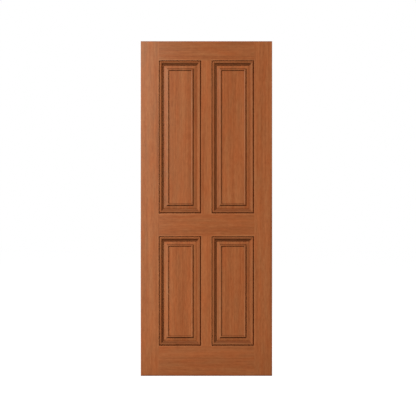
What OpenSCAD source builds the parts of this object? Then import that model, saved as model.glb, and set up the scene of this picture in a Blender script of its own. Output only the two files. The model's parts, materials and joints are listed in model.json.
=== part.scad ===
// Four-panel timber exterior door leaf.
// Origin at the middle of the foot of the leaf, X to the right seen from the front,
// Y from the front face to the back face, Z up. All lengths are in millimetres.

/* [Leaf] */
// Width of the leaf
leaf_w = 838; // [700:1:1000]
// Height of the leaf
leaf_h = 2134; // [1900:1:2400]
// Thickness of the leaf
leaf_t = 44; // [40:1:60]
// Radius of the eased edges all round the leaf
arris_r = 2; // [0.5:0.5:4]

/* [Framing] */
// Width of each stile
stile_w = 115; // [100:1:150]
// Width of each muntin, the upright between two panels
muntin_w = 66; // [55:1:110]
// Height of the top rail
top_rail_h = 123; // [95:1:180]
// Height of the lock rail, across the middle
lock_rail_h = 146; // [125:1:220]
// Height of the bottom rail
bottom_rail_h = 192; // [160:1:260]
// Height of the lock rail's middle above the foot of the leaf
lock_rail_z = 962.5; // [850:0.5:1100]

/* [Joints] */
// Width of the panel grooves, and so the thickness of the tenons
groove_w = 16; // [12:1:20]
// Depth of the panel grooves, and so the length of the haunches
groove_d = 13; // [10:1:18]
// Height of the haunch at the top and at the foot of the leaf
haunch_h = 35; // [20:1:45]
// Gap between twin tenons
twin_gap = 35; // [20:1:50]
// Length of the stub tenons at the ends of the muntins
stub_l = 45; // [25:1:55]
// Glue space past the end of a stub tenon
glue_gap = 2; // [0.5:0.5:4]
// Length of the wedges beside the through tenons
wedge_l = 75; // [40:1:80]
// Thickness of a wedge at its outer end
wedge_butt = 6; // [3:0.5:10]
// Thickness of a wedge at its tip
wedge_tip = 1; // [0.5:0.5:2]

/* [Mouldings] */
// Width of the mouldings planted round the panels
moulding_w = 29.5; // [26:0.5:36]
// How far the bead of a moulding lies below the face of the leaf
bead_drop = 1; // [0:0.5:2]
// Width of the quirk between the framing and the bead
quirk_w = 4; // [2:0.5:6]
// Width of the bead's nosing, beside the quirk
nosing_w = 6.5; // [5.5:0.5:8]
// Rise of the nosing from the quirk to the crest of the bead
nosing_h = 5; // [3:0.5:5.5]
// Width of the ovolo that falls from the crest of the bead
ovolo_w = 10; // [6:0.5:12]
// Fall of the ovolo
ovolo_h = 4; // [2:0.25:5]
// Width of the fillet between the ovolo and the cove
fillet_w = 3; // [0.5:0.5:6]
// Step down from the ovolo to the fillet
fillet_h = 2.5; // [0.5:0.5:3.5]
// Width of the flat along the moulding's inner edge
edge_w = 1; // [0.5:0.5:2]
// Thickness of the moulding's inner edge
edge_t = 4; // [2:0.25:5.5]

/* [Panels] */
// Room left for a panel to swell, between its tongue and the bottom of the groove
panel_gap = 2; // [0.5:0.5:4]
// Width of the bevel between the mouldings and the raised border
bevel_w = 17.5; // [12:0.5:30]
// Rise of the bevel from the mouldings to the raised border
bevel_h = 2.25; // [0.5:0.25:4]
// Height of the raised border above the foot of the bevel
border_h = 8.5; // [6:0.25:10]
// Width of the ogee on the border's outer side
ogee_w = 10; // [7:0.5:18]
// Width of the border's level crest
crest_w = 1; // [0.5:0.5:8]
// Width of the round on the border's inner side
inner_w = 7; // [5:0.5:12]
// Height of the panel's field above the foot of the bevel
field_h = 3.5; // [1:0.25:5]

/* [Hidden] */
$fn = 64;
// Every cut runs past its face by this much, and every added shape sinks in by it
overrun = 1;

// Colours of the stained timber
framing_colour = [0.66, 0.40, 0.25];
panel_colour = [0.62, 0.36, 0.22];
moulding_colour = [0.55, 0.30, 0.17];
wedge_colour = [0.72, 0.52, 0.34];

// Places of the framing
half_w = leaf_w / 2;
half_t = leaf_t / 2;
flat_t = leaf_t - 2 * arris_r;
stile_x = half_w - stile_w;
top_rail_z = leaf_h - top_rail_h;
lock_foot_z = lock_rail_z - lock_rail_h / 2;
lock_top_z = lock_rail_z + lock_rail_h / 2;
stub_w = muntin_w - 2 * groove_d;

// Through tenons, each as its lowest and highest Z
function twin_tenons(low, high) =
    let (each_h = (high - low - twin_gap) / 2)
    [[low, low + each_h], [high - each_h, high]];
top_tenons = [[top_rail_z + groove_d, leaf_h - haunch_h]];
lock_tenons = twin_tenons(lock_foot_z + groove_d, lock_top_z - groove_d);
bottom_tenons = twin_tenons(haunch_h, bottom_rail_h - groove_d);
tenons = concat(top_tenons, lock_tenons, bottom_tenons);

// The four openings in the framing, by row and column
ROWS = ["upper", "lower"];
COLUMNS = ["left", "right"];
FACES = ["front", "back"];
SIDES = ["bottom", "right", "top", "left"];
opening_w = stile_x - muntin_w / 2;
opening_x = (stile_x + muntin_w / 2) / 2;
function row_low(row) = row == "upper" ? lock_top_z : bottom_rail_h;
function row_high(row) = row == "upper" ? top_rail_z : lock_foot_z;
function row_h(row) = row_high(row) - row_low(row);
function row_z(row) = (row_high(row) + row_low(row)) / 2;
function column_x(column) = column == "left" ? -opening_x : opening_x;
function side_turn(side) = 90 * search([side], SIDES)[0];
function side_is_level(side) = side == "bottom" || side == "top";

// Section of a moulding, from the framing inwards and from the panel outwards
moulding_h = half_t - groove_w / 2 - bead_drop;
quirk_h = moulding_h - nosing_h;
crest_d = quirk_w + nosing_w;
fillet_d = crest_d + ovolo_w;
ovolo_foot_h = moulding_h - ovolo_h;
cove_d = fillet_d + fillet_w;
cove_top_h = ovolo_foot_h - fillet_h;
cove_w = moulding_w - edge_w - cove_d;

// Section of a panel's raised border, from the framing inwards
border_d = moulding_w + bevel_w;
ogee_mid_d = border_d + ogee_w / 2;
ogee_mid_h = (bevel_h + border_h) / 2;
border_crest_d = border_d + ogee_w;
inner_d = border_crest_d + crest_w;
field_d = inner_d + inner_w;
tongue_d = groove_d - panel_gap;
field_t = groove_w + 2 * field_h;
border_t = groove_w + 2 * border_h;

function panel_name(row, column) = str(row, "_", column, "_panel");
function moulding_name(row, column, face, side) =
    str(row, "_", column, "_", face, "_moulding_", side);

// Block between two X and two Z, centred in the thickness of the leaf
module slab(x0, x1, z0, z1, thick) {
    translate([x0, -thick / 2, z0]) cube([x1 - x0, thick, z1 - z0]);
}

// Both sides of the leaf, from one shape on the left
module both_sides() {
    children();
    mirror([1, 0, 0]) children();
}

// Quarter disc in the corner where both axes are positive
module quarter_disc(r) {
    intersection() {
        circle(r);
        square(r + overrun);
    }
}

function arc_r(w, h) = (w * w + h * h) / (2 * h);

// Solid under a round that leaves its crest level and falls by h over the width w, and that may
// go on past that width by extra. The circle is hung from the crest, which so stays exact
module rounded(w, h, extra = 0) {
    r = arc_r(w, h);
    intersection() {
        translate([0, -overrun]) square([w + extra, h + 2 * overrun]);
        translate([0, h]) translate([0, -r]) circle(r);
    }
}

// Solid under a hollow that falls by h over the width w and ends level
module hollow(w, h) {
    r = arc_r(w, h);
    difference() {
        translate([-overrun, -overrun]) square([w + overrun, h + overrun]);
        translate([w, r]) circle(r);
    }
}

// One wedge above a tenon at the left edge of the leaf, reaching out past the edge by extra
module wedge(extra) {
    slope = (wedge_butt - wedge_tip) / wedge_l;
    end_h = wedge_butt + slope * extra;
    rotate([90, 0, 0])
        linear_extrude(groove_w, center = true)
            polygon([[-extra, 0], [wedge_l, 0], [wedge_l, wedge_tip], [-extra, end_h]]);
}

// The two wedges of one tenon, at the left edge of the leaf
module wedge_pair(tenon, extra = 0) {
    translate([-half_w, 0, tenon[1]]) wedge(extra);
    translate([-half_w, 0, tenon[0]]) mirror([0, 0, 1]) wedge(extra);
}

// Leaves of a piece what lies within the leaf's eased top and foot
module eased_ends() {
    intersection() {
        children();
        rotate([90, 0, 90]) linear_extrude(leaf_w + 2 * overrun, center = true) end_view();
    }
}

// The leaf seen along X, in Y and Z, with its four edges eased
module end_view() {
    translate([-half_t, arris_r]) square([leaf_t, leaf_h - 2 * arris_r]);
    translate([-flat_t / 2, 0]) square([flat_t, leaf_h]);
    for (turn = [0, 1])
        mirror([turn, 0]) {
            translate([flat_t / 2, leaf_h - arris_r]) quarter_disc(arris_r);
            translate([flat_t / 2, arris_r]) mirror([0, 1]) quarter_disc(arris_r);
        }
}

// Plan of the left stile, with its two outer edges eased
module stile_plan() {
    translate([-half_w + arris_r, -half_t]) square([stile_w - arris_r, leaf_t]);
    translate([-half_w, -flat_t / 2]) square([arris_r + overrun, flat_t]);
    for (turn = [0, 1])
        mirror([0, turn])
            translate([-half_w + arris_r, flat_t / 2]) mirror([1, 0]) quarter_disc(arris_r);
}

// Left stile, grooved along its inner edge and mortised right through
module stile() {
    difference() {
        eased_ends() linear_extrude(leaf_h) stile_plan();
        slab(-stile_x - groove_d, -stile_x + overrun, -overrun, leaf_h + overrun, groove_w);
        for (tenon = tenons) {
            slab(-half_w - overrun, -stile_x, tenon[0], tenon[1], groove_w);
            wedge_pair(tenon, overrun);
        }
    }
}

module left_stile() {
    color(framing_colour) stile();
}

module right_stile() {
    color(framing_colour) mirror([1, 0, 0]) stile();
}

// Groove and stub mortise for the panels and muntin on one edge of a rail.
// way is 1 where they go up into the rail and -1 where they go down
module rail_groove(z, way) {
    translate([0, 0, z]) scale([1, 1, way]) {
        slab(-stile_x - overrun, stile_x + overrun, -overrun, groove_d, groove_w);
        slab(-stub_w / 2, stub_w / 2, 0, stub_l + glue_gap, groove_w);
    }
}

// Rail between the stiles, with haunches as long as the stiles' grooves are deep.
// has_low and has_high tell which of its edges are grooved
module rail(z0, z1, has_low, has_high, rail_tenons) {
    haunch_z0 = has_low ? z0 + groove_d : z0;
    haunch_z1 = has_high ? z1 - groove_d : z1;
    haunch_x = stile_x + groove_d;
    difference() {
        union() {
            eased_ends() slab(-stile_x, stile_x, z0, z1, leaf_t);
            slab(-haunch_x, haunch_x, haunch_z0, haunch_z1, groove_w);
            for (tenon = rail_tenons) slab(-half_w, half_w, tenon[0], tenon[1], groove_w);
        }
        if (has_low) rail_groove(z0, 1);
        if (has_high) rail_groove(z1, -1);
    }
}

module top_rail() {
    color(framing_colour) rail(top_rail_z, leaf_h, true, false, top_tenons);
}

module lock_rail() {
    color(framing_colour) rail(lock_foot_z, lock_top_z, true, true, lock_tenons);
}

module bottom_rail() {
    color(framing_colour) rail(0, bottom_rail_h, false, true, bottom_tenons);
}

// Upright between two panels, grooved on both edges, with a stub tenon at each end
module muntin(row) {
    z0 = row_low(row);
    z1 = row_high(row);
    color(framing_colour)
        difference() {
            union() {
                slab(-muntin_w / 2, muntin_w / 2, z0, z1, leaf_t);
                slab(-stub_w / 2, stub_w / 2, z0 - stub_l, z1 + stub_l, groove_w);
            }
            both_sides()
                slab(-muntin_w / 2 - overrun, -stub_w / 2, z0 - overrun, z1 + overrun, groove_w);
        }
}

module upper_muntin() {
    muntin("upper");
}

module lower_muntin() {
    muntin("lower");
}

// Takes a shape drawn flat, with X and Y across the leaf and Z outwards, to an opening's middle
module at_opening(row, column) {
    translate([column_x(column), 0, row_z(row)]) rotate([90, 0, 0]) children();
}

// One side of an opening: the section given is drawn inwards from the framing, run along
// that side and mitred at both ends. It reaches in by inner_reach, and stays within half_depth
// of the middle of the leaf
module mitred_side(side, row, inner_reach, half_depth) {
    run = side_is_level(side) ? opening_w : row_h(row);
    across = side_is_level(side) ? row_h(row) : opening_w;
    in = inner_reach + overrun;
    rotate(side_turn(side))
        translate([-run / 2, -across / 2, 0])
            intersection() {
                translate([-overrun, 0, 0])
                    rotate([90, 0, 90]) linear_extrude(run + 2 * overrun) children();
                linear_extrude(2 * (half_depth + overrun), center = true)
                    polygon([[-overrun, -overrun], [run + overrun, -overrun], [run - in, in], [in, in]]);
            }
}

// Section of the bevel and the raised border, from the mouldings inwards
module border_section() {
    rise = ogee_mid_h - bevel_h;
    polygon([
        [moulding_w, -overrun],
        [moulding_w, 0],
        [border_d, bevel_h],
        [inner_d, bevel_h],
        [inner_d, -overrun]]);
    translate([ogee_mid_d, bevel_h]) mirror([1, 0]) hollow(ogee_w / 2, rise);
    translate([ogee_mid_d, 0]) square([inner_d - ogee_mid_d, ogee_mid_h]);
    translate([border_crest_d, ogee_mid_h]) mirror([1, 0]) rounded(ogee_w / 2, rise);
    translate([border_crest_d, 0]) square([crest_w, border_h]);
    translate([inner_d, field_h]) rounded(inner_w, border_h - field_h, overrun);
}

// The bevels and borders of both faces, on one side of a panel
module border_pair() {
    for (turn = [0, 1])
        mirror([0, turn])
            translate([0, groove_w / 2]) border_section();
}

// Panel: a core that runs into the grooves, a thicker field that starts under the border's
// crest, and the border round it
module panel(row, column) {
    core_w = opening_w + 2 * tongue_d;
    core_l = row_h(row) + 2 * tongue_d;
    field_w = opening_w - 2 * border_crest_d;
    field_l = row_h(row) - 2 * border_crest_d;
    color(panel_colour)
        at_opening(row, column) {
            cube([core_w, core_l, groove_w], center = true);
            cube([field_w, field_l, field_t], center = true);
            for (side = SIDES)
                mitred_side(side, row, field_d + overrun, border_t / 2) border_pair();
        }
}

// Section of a moulding: quirk, bead with its nosing and ovolo, fillet, cove and inner edge
module moulding_section() {
    square([fillet_d, quirk_h]);
    translate([crest_d, quirk_h]) mirror([1, 0]) rounded(nosing_w, nosing_h);
    translate([crest_d, 0]) square([ovolo_w, ovolo_foot_h]);
    translate([crest_d, ovolo_foot_h]) rounded(ovolo_w, ovolo_h);
    translate([fillet_d - overrun, 0]) square([fillet_w + overrun, cove_top_h]);
    translate([cove_d, 0]) square([moulding_w - cove_d, edge_t]);
    translate([cove_d, edge_t]) hollow(cove_w, cove_top_h - edge_t);
}

// One mitred length of moulding, seated on the edge of the panel and against the framing
module moulding(row, column, face, side) {
    color(moulding_colour)
        mirror([0, face == "back" ? 1 : 0, 0])
            at_opening(row, column)
                mitred_side(side, row, moulding_w, half_t)
                    translate([0, groove_w / 2]) moulding_section();
}

module tenon_wedges() {
    color(wedge_colour)
        both_sides()
            for (tenon = tenons) wedge_pair(tenon);
}

left_stile();
right_stile();
top_rail();
lock_rail();
bottom_rail();
upper_muntin();
lower_muntin();
for (row = ROWS, column = COLUMNS)
    panel(row, column);
for (row = ROWS, column = COLUMNS, face = FACES, side = SIDES)
    moulding(row, column, face, side);
tenon_wedges();
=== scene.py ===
"""Looks of a four-panel timber exterior door leaf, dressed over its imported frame."""

import json
import math

import bpy
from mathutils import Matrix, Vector


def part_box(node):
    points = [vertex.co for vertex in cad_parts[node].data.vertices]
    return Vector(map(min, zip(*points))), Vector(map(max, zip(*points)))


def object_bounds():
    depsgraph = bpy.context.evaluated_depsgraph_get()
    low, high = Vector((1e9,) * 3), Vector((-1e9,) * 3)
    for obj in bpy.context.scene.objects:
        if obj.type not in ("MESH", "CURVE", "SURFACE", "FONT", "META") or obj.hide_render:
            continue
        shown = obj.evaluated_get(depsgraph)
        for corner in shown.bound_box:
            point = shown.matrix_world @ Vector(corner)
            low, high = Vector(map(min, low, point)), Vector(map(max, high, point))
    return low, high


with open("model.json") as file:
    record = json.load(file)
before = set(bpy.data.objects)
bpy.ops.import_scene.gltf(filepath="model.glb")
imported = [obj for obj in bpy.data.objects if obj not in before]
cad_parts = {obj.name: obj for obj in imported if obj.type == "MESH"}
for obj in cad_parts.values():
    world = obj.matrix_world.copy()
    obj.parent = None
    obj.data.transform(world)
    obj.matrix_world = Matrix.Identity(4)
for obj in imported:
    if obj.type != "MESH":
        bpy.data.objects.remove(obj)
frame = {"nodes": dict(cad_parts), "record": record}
CAD_LOW, CAD_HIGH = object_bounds()
CAD_MIDDLE = (CAD_LOW + CAD_HIGH) / 2
NODES = frame["nodes"]
SLOTS = {part["node"]: part["material_slot"] for part in frame["record"]["subparts"]}

# The photograph's frame, in its own pixels
IMAGE_SIDE_PX = 416
LEAF_HEIGHT_PX = 334.75
LEAF_CENTRE_PX = (206.45, 208.54)

# Camera, in metres and millimetres of sensor
CAMERA_DISTANCE = 10.0
SENSOR_WIDTH = 36.0

# Soft square lamps, in metres and watts
# The key is far to the left and above, and the back key is its match behind the leaf. Both are
# turned aside, so that their light falls off across the leaf
KEY_PLACE = Vector((-7.54, -7.05, 7.20))
KEY_AIM = Vector((-12.3, 1.25, 0.0))
BACK_PLACE = Vector((7.54, 7.05, 7.20))
BACK_AIM = Vector((12.3, -1.25, 0.0))
KEY_SIDE = 2.0
KEY_POWER = 4600.0
# The sheen is between the key and the camera, and only glosses the satin finish
SHEEN_PLACE = Vector((-2.35, -4.4, 2.02))
SHEEN_SIDE = 0.9
SHEEN_POWER = 12.0

# Light from all round as it falls on the leaf, and the pale ground that the camera sees
WHITE = (1.0, 1.0, 1.0, 1.0)
ROOM = 0.17
BACKGROUND = 1.0

# Floor, which glows to stay white out of the lamps' reach, and so gives back little of their light
FLOOR_REACH = 30.0
FLOOR_COLOUR = (0.03, 0.03, 0.03, 1.0)
FLOOR_ROUGHNESS = 0.9
FLOOR_GLOW = 0.99

# Axes that the grain runs along: level pieces across the leaf, and the others up it
LEVEL_AXIS = 0
UPRIGHT_AXIS = 2
LEVEL_MOULDINGS = ("_moulding_top", "_moulding_bottom")
LEVEL_ENDINGS = LEVEL_MOULDINGS + ("_rail", "_wedges")

# Streaks in the wood: cycles a metre across the grain and along it, and octaves of detail
STREAKS = {
    "figure": (16.0, 0.6, 1.0),
    "grain": (95.0, 1.8, 3.0),
    "fleck": (120.0, 24.0, 2.0),
    "fibre": (480.0, 9.0, 2.0),
    "pores": (1500.0, 40.0, 1.0),
    "drift": (30.0, 6.0, 1.0),
}
STREAK_ROUGHNESS = 0.55
# Step through the streaks from one piece to the next, in metres
SEED_STEP = Vector((1.37, 0.83, 2.11))

# Tone of the wood: the middle of every streak, and so of the tone, and what some streaks add to it
MIDDLE_TONE = 0.5
TONE_SHARES = {"figure": 0.40, "grain": 0.55, "fleck": 0.45, "fibre": 0.15}

# Stained hardwood in linear colour, at three tones from the darkest streaks to the palest
WOOD_STOPS = (
    (0.25, (0.262, 0.071, 0.019, 1.0)),
    (MIDDLE_TONE, (0.345, 0.103, 0.031, 1.0)),
    (0.75, (0.420, 0.139, 0.046, 1.0)),
)

# How much paler or darker a piece is than this, by its name
TONES = {
    "left_stile": 1.005,
    "right_stile": 1.03,
    "upper_muntin": 1.07,
    "lower_muntin": 1.08,
    "top_rail": 0.94,
    "lock_rail": 1.03,
    "bottom_rail": 0.96,
    "upper_left_panel": 1.005,
    "upper_right_panel": 1.025,
    "lower_left_panel": 1.06,
    "lower_right_panel": 1.01,
}
# The same for the other pieces, by their material slot, and for the level mouldings
SLOT_TONES = {"moulding": 0.93, "wedge": 1.0}
LEVEL_MOULDING_TONE = 0.62

# Painted sheen, a pale wash added to the colour, strongest at the left edge and the head of the
# leaf
PAINTED_SHEEN = (0.040, 0.045, 0.036)
# Where across the leaf it ends, how steeply it falls to there, and what is left of it at the foot
PAINTED_SHEEN_RIGHT = 0.25
PAINTED_SHEEN_FALL = 3.0
PAINTED_SHEEN_FOOT_SHARE = 0.15
# What a piece takes of it, by its material slot
PAINTED_SHEEN_SHARES = {"framing": 1.0, "panel": 0.8, "moulding": 0.05, "wedge": 0.0}

# Drift of the stain's hue along a board, from red brown to yellow brown
DRIFT_SPREAD = (0.25, 0.75)
RED_TINT = (1.03, 0.94, 0.88, 1.0)
YELLOW_TINT = (0.97, 1.06, 1.12, 1.0)
CLEAR_TINT = WHITE

# Pores: the part of their streaks that is dark, and its tone
PORE_SPREAD = (0.30, 0.42)
PORE_SHADE = 0.72

# Painted shade in the crevices: how far off their sides are felt, the rays that feel them, and the
# shade's tone and hue
CREVICE_REACH = 0.016
CREVICE_RAYS = 8
OPEN_SPREAD = (0.2, 0.9)
PAINTED_CREVICE_SHADE = 0.35
PAINTED_CREVICE_TINT = (1.0, 0.68, 0.36, 1.0)

# End grain, which takes up more stain than the rest: how far a face turns to it, and its tone
END_SPREAD = (0.05, 0.5)
END_GRAIN_SHADE = 0.47

# Painted shade on slopes towards the key light, with a paler painted sheen on the panels: how far
# a face turns to it, and its hue by material slot
PAINTED_SLOPE_SPREAD = (0.04, 0.35)
PAINTED_SLOPE_TINTS = {"panel": (0.80, 0.96, 1.18, 1.0), "moulding": (0.86, 0.91, 0.93, 1.0)}

# Feet of the stiles, darker towards the floor: how high it reaches, and their hue at the floor
FOOT_SPREAD = (CAD_LOW.z, 0.28)
FOOT_TINT = (0.90, 0.89, 0.87, 1.0)

# Painted highlight along the framing's arris round each opening: how far outside an opening's edge
# it fades, and its hue
ARRIS_HIGHLIGHT_SPREAD = (0.0, 0.007)
ARRIS_HIGHLIGHT_TINT = (1.18, 1.30, 1.45, 1.0)

# Painted highlight on the bead of the level mouldings, paler than the rest of them
# How far its middle is inside an opening's edge, how far to both sides it fades, and its hue
BEAD_HIGHLIGHT_INSET = 0.0090
BEAD_HIGHLIGHT_SPREAD = (0.0025, 0.0045)
BEAD_HIGHLIGHT_TINT = (1.42, 1.46, 1.50, 1.0)

# Satin finish by material slot: strength of the gloss, and roughness, which the grain varies
GLOSS = {"framing": 0.25, "panel": 0.25, "moulding": 0.1, "wedge": 0.1}
ROUGHNESS = {"framing": 0.36, "panel": 0.36, "moulding": 0.6, "wedge": 0.7}
ROUGHNESS_SWING = 0.04
GRAIN_SPREAD = (0.2, 0.8)

# Relief of the fibres and the pores
RELIEF_STRENGTH = 0.12
RELIEF_HEIGHT = 0.0004


def add_node(tree, kind, inputs=None, **settings):
    """A node with its settings, and its sockets filled with values or linked to other sockets."""
    made = tree.nodes.new(kind)
    for name, value in settings.items():
        setattr(made, name, value)
    for socket, value in (inputs or {}).items():
        if isinstance(value, bpy.types.NodeSocket):
            tree.links.new(value, made.inputs[socket])
        else:
            made.inputs[socket].default_value = value
    return made


def math_node(tree, operation, a, b=0.0):
    return add_node(tree, "ShaderNodeMath", {0: a, 1: b}, operation=operation).outputs[0]


def vector_node(tree, operation, a, b):
    return add_node(tree, "ShaderNodeVectorMath", {0: a, 1: b}, operation=operation).outputs[0]


def scaled(tree, vector, scale):
    inputs = {0: vector, "Scale": scale}
    return add_node(tree, "ShaderNodeVectorMath", inputs, operation="SCALE").outputs[0]


def parts_of(tree, vector):
    """The X, Y and Z of a vector."""
    return add_node(tree, "ShaderNodeSeparateXYZ", {0: vector}).outputs


def ranged(tree, value, spread, start=0.0, end=1.0, curve="LINEAR"):
    """From start to end as a value goes through a spread, and never past them."""
    inputs = {
        "Value": value,
        "From Min": spread[0],
        "From Max": spread[1],
        "To Min": start,
        "To Max": end,
    }
    return add_node(tree, "ShaderNodeMapRange", inputs, interpolation_type=curve).outputs[0]


def mixed_tint(tree, share, first, last):
    """A colour between two, from the first at a share of 0 to the last at 1."""
    ramp = add_node(tree, "ShaderNodeValToRGB", {"Fac": share})
    ramp.color_ramp.elements[0].color = first
    ramp.color_ramp.elements[1].color = last
    return ramp.outputs["Color"]


def fading_tint(tree, value, spread, tint):
    """A hue that is whole where a value is at a spread's start or below, and gone at its end."""
    return mixed_tint(tree, ranged(tree, value, spread), tint, CLEAR_TINT)


def streaks(tree, place, along, cycles_across, cycles_along, detail):
    """Noise drawn out along the grain."""
    cycles = [cycles_across] * 3
    cycles[along] = cycles_along
    inputs = {
        "Vector": vector_node(tree, "MULTIPLY", place, cycles),
        "Scale": 1.0,
        "Detail": detail,
        "Roughness": STREAK_ROUGHNESS,
    }
    return add_node(tree, "ShaderNodeTexNoise", inputs).outputs["Fac"]


def span_gap(tree, value, low, high):
    """How far a value lies outside a span, and below 0 inside it."""
    below = math_node(tree, "SUBTRACT", low, value)
    above = math_node(tree, "SUBTRACT", value, high)
    return math_node(tree, "MAXIMUM", below, above)


def opening_gap(tree, at):
    """How far a place lies outside a panel's opening in the framing, and below 0 inside it."""
    aside = math_node(tree, "ABSOLUTE", at["X"])
    across = span_gap(tree, aside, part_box("upper_muntin")[1].x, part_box("right_stile")[0].x)
    upright = [
        span_gap(tree, at["Z"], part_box(low)[1].z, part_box(high)[0].z)
        for low, high in (("bottom_rail", "lock_rail"), ("lock_rail", "top_rail"))
    ]
    return math_node(tree, "MAXIMUM", across, math_node(tree, "MINIMUM", *upright))


def tone_of(name):
    """How much paler or darker a piece is than the stained hardwood's own colour."""
    if name.endswith(LEVEL_MOULDINGS):
        return LEVEL_MOULDING_TONE
    return TONES[name] if name in TONES else SLOT_TONES[SLOTS[name]]


def stain(tree, streak):
    """The stained hardwood's colour, as its streaks give it."""
    tone = MIDDLE_TONE * (1.0 - sum(TONE_SHARES.values()))
    for kind, share in TONE_SHARES.items():
        tone = math_node(tree, "ADD", tone, math_node(tree, "MULTIPLY", streak[kind], share))
    ramp = add_node(tree, "ShaderNodeValToRGB", {"Fac": tone})
    stops = ramp.color_ramp.elements
    stops.new(MIDDLE_TONE)
    for stop, (position, colour) in zip(stops, WOOD_STOPS):
        stop.position = position
        stop.color = colour
    return ramp.outputs["Color"]


def painted_sheen(tree, slot, at):
    """What the painted sheen towards the left edge and the head adds to the colour."""
    across = math_node(tree, "POWER", ranged(tree, at["X"], (PAINTED_SHEEN_RIGHT, CAD_LOW.x)), PAINTED_SHEEN_FALL)
    up = ranged(tree, at["Z"], (CAD_LOW.z, CAD_HIGH.z), PAINTED_SHEEN_FOOT_SHARE, 1.0)
    strongest = [part * PAINTED_SHEEN_SHARES[slot] for part in PAINTED_SHEEN]
    return scaled(tree, strongest, math_node(tree, "MULTIPLY", across, up))


def open_share(tree):
    """From 0 deep in a crevice, where shade is painted, to 1 in the open."""
    reach = {"Distance": CREVICE_REACH}
    crevice = add_node(tree, "ShaderNodeAmbientOcclusion", reach, samples=CREVICE_RAYS)
    return ranged(tree, crevice.outputs["AO"], OPEN_SPREAD)


def tints(tree, name, at, facing, openness, drift):
    """The hues that lie over a piece's stain: its own drift along the board, painted shade, sheen
    and highlights, and darker stile feet.
    """
    slot = SLOTS[name]
    yield mixed_tint(tree, ranged(tree, drift, DRIFT_SPREAD), RED_TINT, YELLOW_TINT)
    # Painted shade in the crevices, redder the deeper they are
    yield mixed_tint(tree, openness, PAINTED_CREVICE_TINT, CLEAR_TINT)
    # Painted shade and sheen on the slopes that face the key light
    if slot in PAINTED_SLOPE_TINTS:
        turn = math_node(tree, "MULTIPLY", facing["X"], facing["Y"])
        share = ranged(tree, turn, PAINTED_SLOPE_SPREAD, curve="SMOOTHSTEP")
        yield mixed_tint(tree, share, CLEAR_TINT, PAINTED_SLOPE_TINTS[slot])
    # Painted highlight along the framing's arris round the openings
    if slot == "framing":
        yield fading_tint(tree, opening_gap(tree, at), ARRIS_HIGHLIGHT_SPREAD, ARRIS_HIGHLIGHT_TINT)
    if name.endswith("_stile"):
        yield fading_tint(tree, at["Z"], FOOT_SPREAD, FOOT_TINT)
    # Painted highlight on the bead of the level mouldings
    if name.endswith(LEVEL_MOULDINGS):
        off_bead_highlight = math_node(tree, "ADD", opening_gap(tree, at), BEAD_HIGHLIGHT_INSET)
        yield fading_tint(tree, math_node(tree, "ABSOLUTE", off_bead_highlight), BEAD_HIGHLIGHT_SPREAD, BEAD_HIGHLIGHT_TINT)


def wood(name, seed):
    """Stained hardwood for one piece, with its grain along its length."""
    material = bpy.data.materials.new(name + "_wood")
    material.use_nodes = True
    tree = material.node_tree
    shader = tree.nodes["Principled BSDF"]
    slot = SLOTS[name]
    along = LEVEL_AXIS if name.endswith(LEVEL_ENDINGS) else UPRIGHT_AXIS

    texture = add_node(tree, "ShaderNodeTexCoord").outputs
    at = parts_of(tree, texture["Object"])
    facing = parts_of(tree, texture["Normal"])
    place = vector_node(tree, "ADD", texture["Object"], SEED_STEP * seed)
    streak = {kind: streaks(tree, place, along, *layer) for kind, layer in STREAKS.items()}

    openness = open_share(tree)
    end_turn = math_node(tree, "ABSOLUTE", facing[along])
    pore_shade = ranged(tree, streak["pores"], PORE_SPREAD, PORE_SHADE, 1.0)
    # Painted shade, darker deeper in the crevices
    painted_crevice_shade = ranged(tree, openness, (0.0, 1.0), PAINTED_CREVICE_SHADE, 1.0)
    end_shade = ranged(tree, end_turn, END_SPREAD, 1.0, END_GRAIN_SHADE, curve="SMOOTHSTEP")

    colour = scaled(tree, stain(tree, streak), tone_of(name))
    # Painted sheen added to the stain, strongest towards the left edge and the head
    colour = vector_node(tree, "ADD", colour, painted_sheen(tree, slot, at))
    # Pores and end grain darken the stain, and painted shade darkens the crevices
    for shade in (pore_shade, painted_crevice_shade, end_shade):
        colour = scaled(tree, colour, shade)
    # Hues over the stain, among them painted shade, sheen and highlights
    for tint in tints(tree, name, at, facing, openness, streak["drift"]):
        colour = vector_node(tree, "MULTIPLY", colour, tint)
    tree.links.new(colour, shader.inputs["Base Color"])

    shader.inputs["Specular IOR Level"].default_value = GLOSS[slot]
    smoothest = ROUGHNESS[slot] - ROUGHNESS_SWING
    roughest = ROUGHNESS[slot] + ROUGHNESS_SWING
    roughness = ranged(tree, streak["grain"], GRAIN_SPREAD, roughest, smoothest)
    tree.links.new(roughness, shader.inputs["Roughness"])

    height = math_node(tree, "ADD", streak["fibre"], pore_shade)
    inputs = {"Height": height, "Strength": RELIEF_STRENGTH, "Distance": RELIEF_HEIGHT}
    relief = add_node(tree, "ShaderNodeBump", inputs)
    tree.links.new(relief.outputs["Normal"], shader.inputs["Normal"])
    return material


def dress_leaf():
    for seed, name in enumerate(sorted(NODES), start=1):
        slot = NODES[name].material_slots[0]
        slot.link = "OBJECT"
        slot.material = wood(name, seed)


def add_object(name, data):
    made = bpy.data.objects.new(name, data)
    bpy.context.scene.collection.objects.link(made)
    return made


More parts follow.
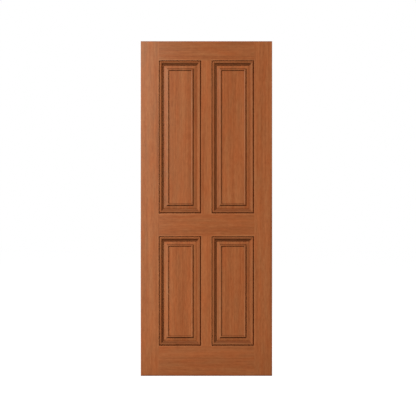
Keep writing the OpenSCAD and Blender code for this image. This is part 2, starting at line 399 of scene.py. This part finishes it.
def make_floor():
    reach = FLOOR_REACH
    corners = [(-reach, -reach, 0), (reach, -reach, 0), (reach, reach, 0), (-reach, reach, 0)]
    mesh = bpy.data.meshes.new("floor")
    mesh.from_pydata(corners, [], [(0, 1, 2, 3)])
    material = bpy.data.materials.new("pale_floor")
    material.use_nodes = True
    shader = material.node_tree.nodes["Principled BSDF"]
    shader.inputs["Base Color"].default_value = FLOOR_COLOUR
    shader.inputs["Roughness"].default_value = FLOOR_ROUGHNESS
    shader.inputs["Emission Color"].default_value = WHITE
    shader.inputs["Emission Strength"].default_value = FLOOR_GLOW
    mesh.materials.append(material)
    floor = add_object("floor", mesh)
    floor.visible_diffuse = False
    floor.visible_glossy = False


def make_world():
    world = bpy.data.worlds.new("studio")
    bpy.context.scene.world = world
    world.use_nodes = True
    tree = world.node_tree
    seen = add_node(tree, "ShaderNodeLightPath").outputs["Is Camera Ray"]
    strength = add_node(tree, "ShaderNodeMix", {0: seen, 2: ROOM, 3: BACKGROUND})
    tree.links.new(strength.outputs[0], tree.nodes["Background"].inputs["Strength"])
    tree.nodes["Background"].inputs["Color"].default_value = WHITE
    world.cycles_visibility.glossy = False


def make_lamp(name, place, aim, side, power):
    data = bpy.data.lights.new(name, "AREA")
    data.shape = "SQUARE"
    data.size = side
    data.energy = power
    lamp = add_object(name, data)
    lamp.location = place
    lamp.rotation_euler = (aim - place).to_track_quat("-Z", "Y").to_euler()
    return lamp


def make_camera():
    """Straight on, with the leaf as high and in the same place as in the photograph."""
    metres_per_px = (CAD_HIGH.z - CAD_LOW.z) / LEAF_HEIGHT_PX
    data = bpy.data.cameras.new("camera")
    data.sensor_width = SENSOR_WIDTH
    data.lens = SENSOR_WIDTH * CAMERA_DISTANCE / (IMAGE_SIDE_PX * metres_per_px)
    camera = add_object("camera", data)
    camera.location = (
        CAD_MIDDLE.x + (IMAGE_SIDE_PX / 2 - LEAF_CENTRE_PX[0]) * metres_per_px,
        CAD_LOW.y - CAMERA_DISTANCE,
        CAD_MIDDLE.z - (IMAGE_SIDE_PX / 2 - LEAF_CENTRE_PX[1]) * metres_per_px,
    )
    camera.rotation_euler = (math.radians(90), 0, 0)
    bpy.context.scene.camera = camera


dress_leaf()
make_floor()
make_world()
make_lamp("key", KEY_PLACE, KEY_AIM, KEY_SIDE, KEY_POWER)
make_lamp("back_key", BACK_PLACE, BACK_AIM, KEY_SIDE, KEY_POWER)
make_lamp("sheen", SHEEN_PLACE, CAD_MIDDLE, SHEEN_SIDE, SHEEN_POWER).visible_diffuse = False
make_camera()
bpy.context.scene.view_settings.view_transform = "Standard"
